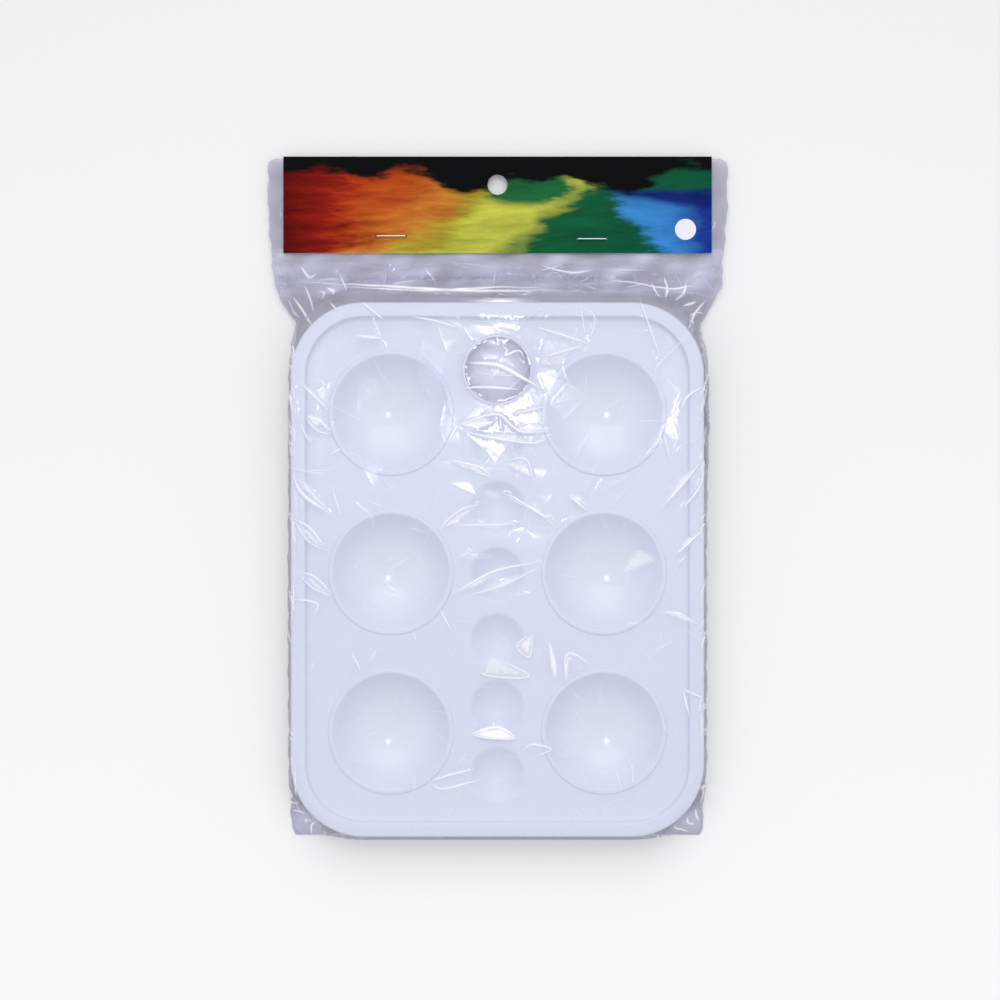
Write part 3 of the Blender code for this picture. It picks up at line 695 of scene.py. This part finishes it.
def build_film():
    """The bag as one thin sheet: above and under the tray, closed at its sides and lower end."""
    random = np.random.default_rng(SEED)
    # A ring of painted glint round the thumb hole's edge
    ring = circle((0, THUMB_Y / MM), THUMB_RADIUS / MM + 0.5, 0, 24)
    thumb_ring = ([(x, y) for x, y, _ in ring + ring[:1]], 1.1, 0.06, 0.4)
    creases = CREASES + [thumb_ring] + fan_creases(random) + random_creases(random)
    paths = []
    for points, width, height, white in creases:
        paths.append((smooth_path(points, CREASE_STEP), width * MM, height * MM, white))
    # Painted glints outline each painted facet
    for corners, white in PAINTED_FACET_GLINTS:
        for a, b in zip(corners, corners[1:] + corners[:1]):
            paths.append((smooth_path([a, b], CREASE_STEP), 0.0009, 0.00005, white * 0.5))
    net = facet_net(random)
    for a, b in net[2]:
        start, end = Vector(net[0][a]), Vector(net[0][b])
        if (end - start).length < 0.030:
            pieces = max(2, round((end - start).length / 0.0024))
            path = [start.lerp(end, i / pieces) for i in range(pieces + 1)]
            # Some facet edges get a faint painted glint
            white = max(0.0, random.uniform(-0.5, 0.22))
            paths.append((path, 0.0007, 0.00001, white))

    stations = np.linspace(BAG_END_Y, MOUTH_Y, 240)
    right = [(x, y) for x, y in zip(half_width(stations, 1), stations)]
    left = [(-x, y) for x, y in zip(half_width(stations, 0), stations)]
    across = np.linspace(left[0][0], right[0][0], 150)[1:-1]
    low_end = [(x, BAG_END_Y) for x in across]
    high_across = np.linspace(left[-1][0], right[-1][0], 150)[1:-1]
    high_end = [(x, MOUTH_Y) for x in high_across[::-1]]
    outline = low_end + right + high_end + left[::-1]
    hole = [(x, y) for x, y, _ in circle(HANG_HOLE, HANG_HOLE_RADIUS, 0, 40)]

    def inside(x, y, margin):
        wide = (x < half_width(y, 1) - margin) & (-x < half_width(y, 0) - margin)
        long = (y > BAG_END_Y + margin) & (y < MOUTH_Y - margin)
        off_hole = np.hypot(x - HANG_HOLE[0], y - HANG_HOLE[1]) > HANG_HOLE_RADIUS + margin
        return wide & long & off_hole

    def grid(step):
        xs = np.arange(-0.1, 0.1, step)
        ys = np.arange(BAG_END_Y, MOUTH_Y, step * 0.87)
        x, y = np.meshgrid(xs, ys)
        x = x + (np.arange(len(ys)) % 2)[:, None] * step / 2
        x, y = x.ravel(), y.ravel()
        x = x + random.uniform(-0.12, 0.12, len(x)) * step
        y = y + random.uniform(-0.12, 0.12, len(y)) * step
        keep = inside(x, y, step * 0.35)
        return x[keep], y[keep]

    def wall_rings():
        """Rows of points along the foot of the walls, where the film is steep."""
        points = []
        for offset in (0.0, 0.0003, 0.0007, 0.0012, 0.0017):
            out = FILM_EDGE_GAP + offset
            halves = (TRAY_HALF_WIDTH + out, TRAY_HALF_LENGTH + out + SLIDE / 2)
            ring = rounded_rectangle(*halves, TRAY_CORNER_RADIUS + out, 0, 30)
            ring = [(x, y + SLIDE / 2) for x, y, _ in ring]
            for (ax, ay), (bx, by) in zip(ring, ring[1:] + ring[:1]):
                pieces = max(1, round(math.hypot(bx - ax, by - ay) / 0.0012))
                for i in range(pieces):
                    points.append((ax + (bx - ax) * i / pieces, ay + (by - ay) * i / pieces))
        x, y = (np.array(values) for values in zip(*points))
        keep = inside(x, y, 0.00012)
        return x[keep], y[keep]

    def triangulate(points, edges):
        """Triangles over the outline, less the hang hole."""
        loop = [Vector(point) for point in outline]
        ring = [Vector(point) for point in hole]
        faces = [list(range(len(loop)))]
        start = len(loop)
        hole_edges = [(start + i, start + (i + 1) % len(ring)) for i in range(len(ring))]
        start += len(ring)
        edges = hole_edges + [(a + start, b + start) for a, b in edges]
        verts, _, faces, _, _, _ = delaunay_2d_cdt(loop + ring + points, edges, faces, 1, 1e-6, False)
        verts, faces = np.array([tuple(v) for v in verts]), np.array(faces)
        x, y = verts[faces].mean(axis=1).T
        off_hole = np.hypot(x - HANG_HOLE[0], y - HANG_HOLE[1]) > HANG_HOLE_RADIUS * 0.98
        right_edge = np.interp(y, stations, [edge for edge, _ in right])
        left_edge = np.interp(y, stations, [edge for edge, _ in left])
        return verts, faces[off_hole & (x < right_edge) & (x > left_edge)].tolist()

    # Upper sheet, with edges along each crease's crest and both its feet
    x, y = grid(FILM_STEP)
    ring_x, ring_y = wall_rings()
    off_wall = np.abs(tray_distance(x, y) - 0.0008) > 0.0012
    in_grid = np.arange(off_wall.sum() + len(ring_x)) < off_wall.sum()
    x, y = np.concatenate([x[off_wall], ring_x]), np.concatenate([y[off_wall], ring_y])
    free = np.full(len(x), True)
    extra, edges = [], []
    for path, width, _, _ in paths:
        flat = np.array([tuple(p) for p in path])
        index = np.nonzero(near_path(x, y, flat, width) & free & in_grid)[0]
        if len(index):
            gap = np.full(len(index), 1.0)
            for a, b in zip(flat, flat[1:]):
                gap = np.minimum(gap, segment_distance(x[index], y[index], a, b)[0])
            free[index[gap < width * 0.5 + 0.0002]] = False
        for offset in (-0.5, -0.25, 0.0, 0.25, 0.5) if width > 0.0008 else (-0.5, 0.0, 0.5):
            places = []
            for i, point in enumerate(path):
                ahead = path[min(i + 1, len(path) - 1)] - path[max(i - 1, 0)]
                taper = math.sin(math.pi * (i + 0.4) / (len(path) - 0.2)) ** 0.6
                places.append(point + Vector((-ahead.y, ahead.x)).normalized() * offset * width * taper)
            px, py = np.array([tuple(place) for place in places]).T
            from_wall = tray_distance(px, py) - 0.00015
            kept = inside(px, py, 0.0002) & (np.abs(from_wall) > 0.0006)
            previous = None
            for place, keep, outer in zip(places, kept, from_wall > 0):
                if not keep:
                    previous = None
                    continue
                extra.append(place)
                if previous == (len(extra) - 2, outer):
                    edges.append((len(extra) - 2, len(extra) - 1))
                previous = (len(extra) - 1, outer)
    points = [Vector((a, b)) for a, b in zip(x[free], y[free])]
    edges = [(a + len(points), b + len(points)) for a, b in edges]
    upper, upper_faces = triangulate(points + extra, edges)
    under_x, under_y = grid(UNDER_STEP)
    under, under_faces = triangulate([Vector((a, b)) for a, b in zip(under_x, under_y)], [])

    def seam_height(y):
        """Height of the bag's two side seams, which lie on the table and rise to the flat neck."""
        return SEAM_Z + (FOLD_Z - SEAM_Z) * smoothstep(*SEAM_RISE, y)

    def film_fields(x, y):
        seam = seam_height(y)
        gap_out = np.maximum(tray_distance(x, y), 0)
        to_side = np.minimum(half_width(y, 1) - x, half_width(y, 0) + x)
        to_edge = np.minimum(np.minimum(to_side, y - BAG_END_Y), FOLD_Y - FOLD_REACH - y)
        to_edge = np.maximum(to_edge, 0)
        room = gap_out + to_edge
        share = np.clip(gap_out / np.maximum(room, 1e-6), 0, 1)
        wide = smoothstep(0.002, 0.011, room)
        bulge = np.sqrt(np.maximum(1 - share**2, 0))
        tent = (1 - share) ** 1.5
        wall = bulge * (1 - wide) + tent * wide
        depth_in = np.maximum(-tray_distance(x, y) - RIM_WIDTH - SLIDE, 0)
        hang = SAG * (1 - np.exp(-depth_in / SAG_REACH))
        top = PLATEAU_Z - hang
        over_tray = smoothstep(0.0012, 0.0, tray_distance(x, y))
        waves = soft_waves(x, y, 1, 0.018, 0.05, 14)
        loose_top = 0.3 + 0.7 * smoothstep(0, SAG * 0.6, hang)
        top = top + 0.00004 * waves * loose_top + facet_height(x, y, net) * loose_top
        # Pleats pulled across between the two columns of wells
        up = y - TRAY_MIDDLE[1]
        pull = smoothstep(0.030, 0.010, np.abs(x)) * (0.55 + 0.45 * np.sin(up * 55 + 1.0))
        phase = up / PLEAT_PITCH * 2 * math.pi + 1.3 * np.sin(x * 95) + 0.9 * np.sin(up * 130)
        top = top + 0.00010 * np.sin(phase) * pull * smoothstep(0, SAG * 0.6, hang)
        top = np.where(hang > SAG * 0.5, np.maximum(top, LOWEST_TOP_Z), top)
        z = seam + (top - seam) * wall
        # The ears at the corners and the neck are crumpled
        loose = smoothstep(0.0, 0.25, share) * smoothstep(1.0, 0.8, share) * wide
        crumple = soft_waves(x, y, 3, 0.006, 0.018, 12)
        z = z + 0.0009 * crumple * loose
        neck = smoothstep(FOLD_Y - 0.001, FOLD_Y + 0.001, y)
        open_neck = neck * smoothstep(CARD_LOW_Y - 0.0004, CARD_LOW_Y - 0.005, y)
        gathers = soft_waves(x, y, 4, 0.008, 0.028, 12)
        lift = 0.0002 + 0.0006 * np.clip(gathers + 0.6, 0, 2.5)
        margin = neck * smoothstep(card_high[0] - 0.0005, card_high[0] + 0.001, np.abs(x))
        side_wave = 0.0004 * (1 + np.sin(y * 380 + np.sign(x)))
        neck_z = NECK_TOP_Z - 0.00008 + open_neck * lift + margin * side_wave * smoothstep(0, 0.002, to_side)
        seam_blend = smoothstep(0.0, 0.0009, to_side)
        neck_z = seam + (neck_z - seam) * seam_blend
        z = z * (1 - neck) + neck_z * neck
        # Painted shade: the film is tinted darker where it lies off the tray over the floor, a little less
        # below the card
        below_card = smoothstep(CARD_LOW_Y + 0.003, CARD_LOW_Y - 0.001, y)
        painted_film_shade = (1 - over_tray) * (1 - 0.25 * neck * below_card)
        return z, painted_film_shade, to_side

    z, painted_film_shade, to_side = film_fields(upper[:, 0], upper[:, 1])
    lift = np.zeros(len(upper))
    white = np.zeros(len(upper))
    fade = smoothstep(0.0, 0.0012, to_side) * smoothstep(0, 0.0012, upper[:, 1] - BAG_END_Y)
    fade = fade * np.where(upper[:, 1] > CARD_LOW_Y - 0.0006, 0, 1)
    # Whiteness along each crease: stress-whitening together with a painted glint of the lamp
    for path, width, height, strength in paths:
        flat = np.array([tuple(p) for p in path])
        index = np.nonzero(near_path(*upper.T, flat, width))[0]
        if not len(index):
            continue
        px, py = upper[index, 0], upper[index, 1]
        gap = np.full(len(index), 1.0)
        place = np.zeros(len(index))
        for number, (a, b) in enumerate(zip(flat, flat[1:])):
            distance, share = segment_distance(px, py, a, b)
            closer = distance < gap
            gap[closer] = distance[closer]
            place[closer] = (number + share[closer]) / (len(flat) - 1)
        taper = np.sin(np.pi * np.clip(place, 0.01, 0.99)) ** 0.6
        profile = np.cos(np.clip(gap / (width * 0.5 * np.maximum(taper, 0.05)), 0, 1) * math.pi / 2) ** 2
        lift[index] = np.maximum(lift[index], height * profile * taper)
        white[index] = np.maximum(white[index], strength * profile**1.3 * np.minimum(taper * 1.3, 1))
    z = z + lift * fade
    # Painted reflection: the listed facets are filled white as if they mirrored the lamp
    for corners, strength in PAINTED_FACET_GLINTS:
        corners = [(a * MM, b * MM + TRAY_MIDDLE[1]) for a, b in corners]
        depth = facet_depth(upper[:, 0], upper[:, 1], corners)
        white = np.maximum(white, strength * smoothstep(0, 0.0008, depth))
    milky_and_painted_light = np.zeros(len(upper))
    for cx, cy, reach_x, reach_y, turn, strength in MILKY_AND_PAINTED_LIGHT:
        dx = upper[:, 0] / MM - cx
        dy = (upper[:, 1] - TRAY_MIDDLE[1]) / MM - cy
        angle = math.radians(turn)
        along = (dx * math.cos(angle) + dy * math.sin(angle)) / reach_x
        aside = (dy * math.cos(angle) - dx * math.sin(angle)) / reach_y
        milky_and_painted_light = np.maximum(milky_and_painted_light, strength * smoothstep(1.0, 0.2, np.hypot(along, aside)))
    # The neck is hazy and painted a little lighter all over, in soft folds
    folds = soft_waves(upper[:, 0], upper[:, 1] * 2.2, 6, 0.010, 0.035, 12)
    in_neck = smoothstep(0.111, 0.116, upper[:, 1] - TRAY_MIDDLE[1])
    in_neck = in_neck * (0.15 + 0.85 * smoothstep(CARD_LOW_Y + 0.003, CARD_LOW_Y - 0.001, upper[:, 1]))
    milky_and_painted_light = np.maximum(milky_and_painted_light, in_neck * np.clip(0.36 + 0.24 * folds, 0, 0.8))
    # A faint painted highlight on the film over the tray's rim
    inset = -tray_distance(upper[:, 0], upper[:, 1] + SLIDE / 2 * (upper[:, 1] > TRAY_MIDDLE[1]))
    on_rim = smoothstep(0, 0.0008, inset) * smoothstep(RIM_WIDTH + 0.0008, RIM_WIDTH, inset)
    milky_and_painted_light = np.maximum(milky_and_painted_light, 0.10 * on_rim)

    mesh_data = bmesh.new()
    whitening_and_painted_glint_layer = mesh_data.verts.layers.float.new("whitening_and_painted_glint")
    milky_and_painted_light_layer = mesh_data.verts.layers.float.new("milky_and_painted_light")
    painted_film_shade_layer = mesh_data.verts.layers.float.new("painted_film_shade")
    verts = []
    for i, (px, py) in enumerate(upper):
        vert = mesh_data.verts.new((px, py, z[i]))
        vert[whitening_and_painted_glint_layer] = float(white[i] * fade[i])
        vert[milky_and_painted_light_layer] = float(milky_and_painted_light[i])
        vert[painted_film_shade_layer] = float(painted_film_shade[i])
        verts.append(vert)
    for face in upper_faces:
        mesh_data.faces.new([verts[i] for i in face])
    under_verts = []
    to_side = np.minimum(half_width(under[:, 1], 1) - under[:, 0], half_width(under[:, 1], 0) + under[:, 0])
    seam = seam_height(under[:, 1])
    low = UNDER_Z + (NECK_UNDER_Z - 0.00005) * smoothstep(*SEAM_RISE, under[:, 1])
    inner = smoothstep(0.0, 0.003, to_side) * smoothstep(0.0, 0.003, under[:, 1] - BAG_END_Y)
    ripple = soft_waves(*under.T, 5, 0.014, 0.05, 10)
    under_z = seam + (low - seam) * inner + 0.00006 * ripple * inner * (under[:, 1] < FOLD_Y - 0.02)
    # Under the thumb hole the film lies close; it is painted bright and given no painted shade, which lights
    # the shaded hole
    thumb_y = THUMB_Y + TRAY_MIDDLE[1]
    at_hole = smoothstep(0.024, 0.016, np.hypot(under[:, 0], under[:, 1] - thumb_y))
    for (px, py), pz, bright in zip(under, under_z, at_hole):
        vert = mesh_data.verts.new((px, py, max(pz, 0.00005)))
        vert[painted_film_shade_layer] = 1.0 - float(bright)
        vert[milky_and_painted_light_layer] = float(bright)
        under_verts.append(vert)
    for face in under_faces:
        mesh_data.faces.new([under_verts[i] for i in reversed(face)])
    rim = [v for v in mesh_data.verts if v.is_boundary and v.co.y < MOUTH_Y - 0.0002]
    rim = [v for v in rim if math.hypot(v.co.x - HANG_HOLE[0], v.co.y - HANG_HOLE[1]) > 0.006]
    bmesh.ops.remove_doubles(mesh_data, verts=rim, dist=0.00002)
    return add_object("bag_film", mesh_data, 60)


# Materials


def tray_material():
    nodes = Nodes("moulded_white_plastic")
    where = nodes.where
    clouds = nodes.noise(where, 35.0, 3.0)
    tint = nodes.mix(clouds, (0.74, 0.775, 0.905, 1), (0.775, 0.805, 0.93, 1))
    # Painted light: the dishes are painted lighter towards their bottoms than the deck
    height = nodes.add("SeparateXYZ", Vector=where).outputs[2]
    on_deck = nodes.soft_step(height, float(DECK_Z - 0.009), float(DECK_Z - 0.002))
    tint = nodes.mix(on_deck, (0.81, 0.84, 0.945, 1), tint)
    grain = nodes.noise(where, 1400.0, 2.0)
    flow = nodes.noise(where, 60.0, 2.0)
    # The deck is matt, the dishes are polished
    polished = nodes.math("MULTIPLY_ADD", flow, 0.06, 0.13)
    matt = nodes.math("MULTIPLY_ADD", flow, 0.12, 0.34)
    matt_share = nodes.math("MULTIPLY", on_deck, nodes.math("SUBTRACT", matt, polished))
    rough = nodes.math("ADD", matt_share, polished)
    fine = nodes.add("Bump", Height=grain, Strength=0.12, Distance=0.00002)
    broad = nodes.add("Bump", Height=flow, Strength=0.15, Distance=0.0002, Normal=fine)
    shader = nodes.add("BsdfPrincipled", Base_Color=tint, Roughness=rough, Normal=broad, IOR=1.5)
    return nodes.finish(shader)


def film_material():
    nodes = Nodes("clear_bag_film")
    where = nodes.where
    layers = [nodes.add("Attribute", {"attribute_name": name}) for name in ("whitening_and_painted_glint", "milky_and_painted_light", "painted_film_shade")]
    whitening_and_painted_glint, milky_and_painted_light, painted_film_shade = (layer.outputs["Fac"] for layer in layers)
    patches = nodes.noise(where, 45.0, 4.0, 0.6)
    # Painted shade: the see-through tint is darker where the film lies off the tray, and darker still where it
    # turns edge-on
    clear = nodes.mix(painted_film_shade, (0.98, 0.98, 0.985, 1), (0.79, 0.79, 0.845, 1))
    edge = nodes.add("LayerWeight", Blend=0.25).outputs["Facing"]
    edge = nodes.math("MULTIPLY", nodes.math("POWER", edge, 2.5), painted_film_shade)
    tint = nodes.mix(edge, clear, (0.62, 0.62, 0.68, 1))
    through = nodes.add("BsdfTransparent", Color=tint)
    scratches = nodes.noise(where, 260.0, 3.0)
    bump = nodes.add("Bump", Height=scratches, Strength=0.25, Distance=0.00004)
    gloss = nodes.add("BsdfGlossy", Color=(0.95, 0.95, 1.0, 1), Roughness=0.1, Normal=bump)
    fresnel = nodes.add("Fresnel", IOR=1.45, Normal=bump).outputs[0]
    shine = nodes.math("MULTIPLY", fresnel, 0.45, clamp=True)
    film = nodes.add("MixShader", Fac=shine)
    nodes.plug(film, "1", through.outputs[0])
    nodes.plug(film, "2", gloss.outputs[0])
    # Share of white: a little random haze, plus the painted light carried by the attributes
    haze_and_painted_light = nodes.math("MULTIPLY_ADD", patches, 0.05, 0.01)
    haze_and_painted_light = nodes.math("MULTIPLY_ADD", painted_film_shade, 0.05, haze_and_painted_light)
    haze_and_painted_light = nodes.math("MULTIPLY_ADD", milky_and_painted_light, 0.6, haze_and_painted_light)
    # Painted glints along the creases, with their stress-whitening, mix in white
    haze_and_painted_light = nodes.math("MULTIPLY_ADD", whitening_and_painted_glint, 0.9, haze_and_painted_light, clamp=True)
    # Colour of the painted light: bluish where milky, near white along the creases
    bluish = nodes.math("MULTIPLY", milky_and_painted_light, 3.0, clamp=True)
    milky_and_painted_light_colour = nodes.mix(bluish, (0.93, 0.93, 0.97, 1), (0.78, 0.79, 0.99, 1))
    milky_and_painted_light_colour = nodes.mix(whitening_and_painted_glint, milky_and_painted_light_colour, (0.95, 0.95, 0.97, 1))
    white = nodes.add("BsdfPrincipled", Base_Color=milky_and_painted_light_colour, Roughness=0.35)
    body = nodes.add("MixShader", Fac=haze_and_painted_light)
    nodes.plug(body, "1", film.outputs[0])
    nodes.plug(body, "2", white.outputs[0])
    return nodes.finish(body)


DISC_X = 0.0789
DISC_UP = 0.0100  # from the card's lower edge
DISC_RADIUS = 0.0044


def card_material():
    """Coated card, printed on its outer faces in a generic wash of blended paint colours."""
    nodes = Nodes("printed_card")
    where = nodes.where
    split = nodes.add("SeparateXYZ", Vector=where)
    x, y, z = split.outputs
    depth = nodes.math("SUBTRACT", z, FOLD_Z)
    past = nodes.math("MAXIMUM", nodes.math("SUBTRACT", y, float(card_high[1] - 0.00095)), 0.0)
    out = nodes.radius(depth, past)
    printed = nodes.math("GREATER_THAN", out, 0.00091)  # the inner faces stay bare

    # Brushed streaks that lean up to the right
    lean = nodes.add("Mapping", Vector=where)
    lean.inputs["Rotation"].default_value = (0, 0, math.radians(-24))
    lean.inputs["Scale"].default_value = (40, 190, 1)
    streak = nodes.noise(lean, 1.0, 5.0, 0.62)
    broad = nodes.noise(where, 38.0, 3.0)
    width = float(card_high[0] - card_low[0])
    height = float(card_high[1] - card_low[1])
    along = nodes.math("MULTIPLY_ADD", x, 1 / width, 0.5)
    up = nodes.math("MULTIPLY_ADD", y, 1 / height, -float(card_low[1]) / height)
    along = nodes.math("MULTIPLY_ADD", nodes.math("SUBTRACT", streak, 0.5), 0.22, along)
    along = nodes.math("MULTIPLY_ADD", nodes.math("SUBTRACT", broad, 0.5), 0.16, along)
    slanted = nodes.math("MULTIPLY_ADD", up, -0.27, along)
    wash = nodes.ramp(
        slanted,
        [
            (0.0, rgb(186, 66, 20)),
            (0.12, rgb(186, 86, 30)),
            (0.22, rgb(198, 120, 44)),
            (0.29, rgb(178, 160, 50)),
            (0.36, rgb(192, 194, 72)),
            (0.48, rgb(190, 194, 76)),
            (0.55, rgb(16, 92, 56)),
            (1.0, rgb(2, 80, 62)),
        ],
    )
    red = nodes.ramp(along, [(0.0, rgb(98, 10, 6)), (0.1, rgb(140, 26, 14)), (0.2, rgb(176, 44, 16))])
    wash = nodes.mix(nodes.soft_step(along, 0.2, 0.1), wash, red)
    # A green patch by the hang hole and a blue one that leans the other way, at the right
    hole_x = nodes.math("MULTIPLY", nodes.math("SUBTRACT", along, 0.57), 9.0)
    hole_y = nodes.math("MULTIPLY", nodes.math("SUBTRACT", up, 0.68), 5.0)
    near_hole = nodes.soft_step(nodes.math("POWER", nodes.radius(hole_x, hole_y), 2.0), 1.2, 0.4)
    wash = nodes.mix(near_hole, wash, rgb(30, 104, 58))
    blue_edge = nodes.math("MULTIPLY_ADD", up, 0.2, along)
    blue_side = nodes.soft_step(blue_edge, 0.85, 0.91)
    blue_top = nodes.soft_step(nodes.math("MULTIPLY_ADD", streak, 0.3, up), 0.86, 0.74)
    blues = [(0.8, rgb(62, 140, 208)), (0.92, rgb(56, 128, 200)), (1.0, rgb(26, 56, 150))]
    blue = nodes.ramp(along, blues)
    deep = nodes.soft_step(nodes.math("MULTIPLY_ADD", along, 0.6, up), 1.0, 1.12)
    blue = nodes.mix(deep, blue, rgb(14, 36, 112))
    wash = nodes.mix(nodes.math("MULTIPLY", blue_side, blue_top), wash, blue)
    shade = nodes.math("MULTIPLY_ADD", streak, 1.3, 0.2)
    shade_colour = nodes.add("CombineXYZ", X=shade, Y=shade, Z=shade)
    wash = nodes.mix(1.0, wash, shade_colour.outputs[0], "MULTIPLY")
    # The black upper edge comes down to a different height all along the card
    reach = [0.86, 0.84, 0.87, 0.70, 0.80, 0.84, 0.60, 0.62]
    reach += [0.78, 0.64, 0.86, 0.62, 0.60, 0.78, 0.88, 0.82]
    stops = [(i / (len(reach) - 1), (value,) * 3) for i, value in enumerate(reach)]
    ragged = nodes.ramp(nodes.math("MULTIPLY_ADD", x, 1 / width, 0.5), stops, "B_SPLINE")
    over = nodes.math("SUBTRACT", up, ragged)
    over = nodes.math("MULTIPLY_ADD", nodes.math("SUBTRACT", broad, 0.5), 0.35, over)
    over = nodes.math("MULTIPLY_ADD", nodes.math("SUBTRACT", streak, 0.5), 0.4, over)
    ink = nodes.soft_step(over, -0.05, 0.05)
    wash = nodes.mix(ink, wash, rgb(6, 7, 10))
    # A blank white disc near the right-hand end
    dx = nodes.math("SUBTRACT", x, DISC_X)
    dy = nodes.math("SUBTRACT", y, float(card_low[1] + DISC_UP))
    disc = nodes.math("LESS_THAN", nodes.radius(dx, dy), DISC_RADIUS)
    front = nodes.math("GREATER_THAN", depth, 0.0)
    wash = nodes.mix(nodes.math("MULTIPLY", disc, front), wash, rgb(232, 230, 240))
    fibre = nodes.noise(where, 900.0, 2.0)
    bare = nodes.mix(fibre, rgb(222, 220, 222), rgb(240, 238, 240))
    colour = nodes.mix(printed, bare, wash)
    bump = nodes.add("Bump", Height=fibre, Strength=0.1, Distance=0.00003)
    shader = nodes.add("BsdfPrincipled", Base_Color=colour, Roughness=0.5, Normal=bump)
    shader.inputs["Specular IOR Level"].default_value = 0.04
    return nodes.finish(shader)


def steel_material():
    nodes = Nodes("staple_wire")
    where = nodes.where
    drawn = nodes.add("Mapping", Vector=where)
    drawn.inputs["Scale"].default_value = (60, 2600, 2600)
    lines = nodes.noise(drawn, 1.0, 3.0)
    tone = nodes.mix(lines, (0.52, 0.52, 0.55, 1), (0.78, 0.78, 0.8, 1))
    rough = nodes.math("MULTIPLY_ADD", lines, 0.2, 0.2)
    bump = nodes.add("Bump", Height=lines, Strength=0.2, Distance=0.00002)
    shader = nodes.add("BsdfPrincipled", Base_Color=tone, Roughness=rough, Normal=bump, Metallic=1.0)
    return nodes.finish(shader)


def floor_material():
    nodes = Nodes("pale_floor")
    where = nodes.where
    split = nodes.add("SeparateXYZ", Vector=where)
    grain = nodes.noise(where, 4.0, 2.0)
    far = nodes.math("MULTIPLY_ADD", split.outputs[1], 1 / 0.6, 0.5, clamp=True)
    tone = nodes.mix(far, (0.97, 0.97, 0.97, 1), (0.775, 0.775, 0.775, 1))
    tone = nodes.mix(nodes.math("MULTIPLY", grain, 0.03), tone, (0.8, 0.8, 0.8, 1))
    shader = nodes.add("BsdfPrincipled", Base_Color=tone, Roughness=0.7)
    return nodes.finish(shader)


# Pieces

tray = build_tray()
tray.data.materials.append(tray_material())
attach(tray, "tray")
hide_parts("mixing_tray")

film = build_film()
film.data.materials.append(film_material())
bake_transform(film)
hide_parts("bag_pouch", "bag_mouth")

card = frame["nodes"]["header_card"]
card.material_slots[0].material = card_material()
steel = steel_material()
for staple in ("staple_left", "staple_right"):
    frame["nodes"][staple].material_slots[0].material = steel

# Floor, light and camera

floor_data = bmesh.new()
bmesh.ops.create_grid(floor_data, x_segments=40, y_segments=40, size=3.0)
floor = add_object("floor", floor_data, 30)
floor.location.z = -0.0003
floor.data.materials.append(floor_material())

world = bpy.data.worlds.new("studio")
world.use_nodes = True
bpy.context.scene.world = world
background = world.node_tree.nodes["Background"]
background.inputs["Color"].default_value = (0.97, 0.98, 1.0, 1)
background.inputs["Strength"].default_value = 0.81


def add_area(name, shape, size, place, target, power):
    lamp = bpy.data.lights.new(name, "AREA")
    lamp.shape = shape
    lamp.size = size
    lamp.energy = power
    item = bpy.data.objects.new(name, lamp)
    item.location = place
    item.rotation_euler = (Vector(target) - Vector(place)).to_track_quat("-Z", "Y").to_euler()
    bpy.context.scene.collection.objects.link(item)


add_area("ceiling_lamp", "DISK", 0.045, (0.0, 0.104, 1.05), (0.0, 0.104, 0.0), 0.7)
add_area("soft_box", "SQUARE", 2.4, (0.0, 1.9, 1.9), (0.0, -0.02, 0.0), 26.0)

camera_data = bpy.data.cameras.new("camera")
camera_data.sensor_width = 36
camera_data.lens = 47.8
camera = bpy.data.objects.new("camera", camera_data)
camera.location = (0.00103, -0.00166, 0.560)
bpy.context.scene.collection.objects.link(camera)
bpy.context.scene.camera = camera
bpy.context.scene.view_settings.view_transform = "Standard"
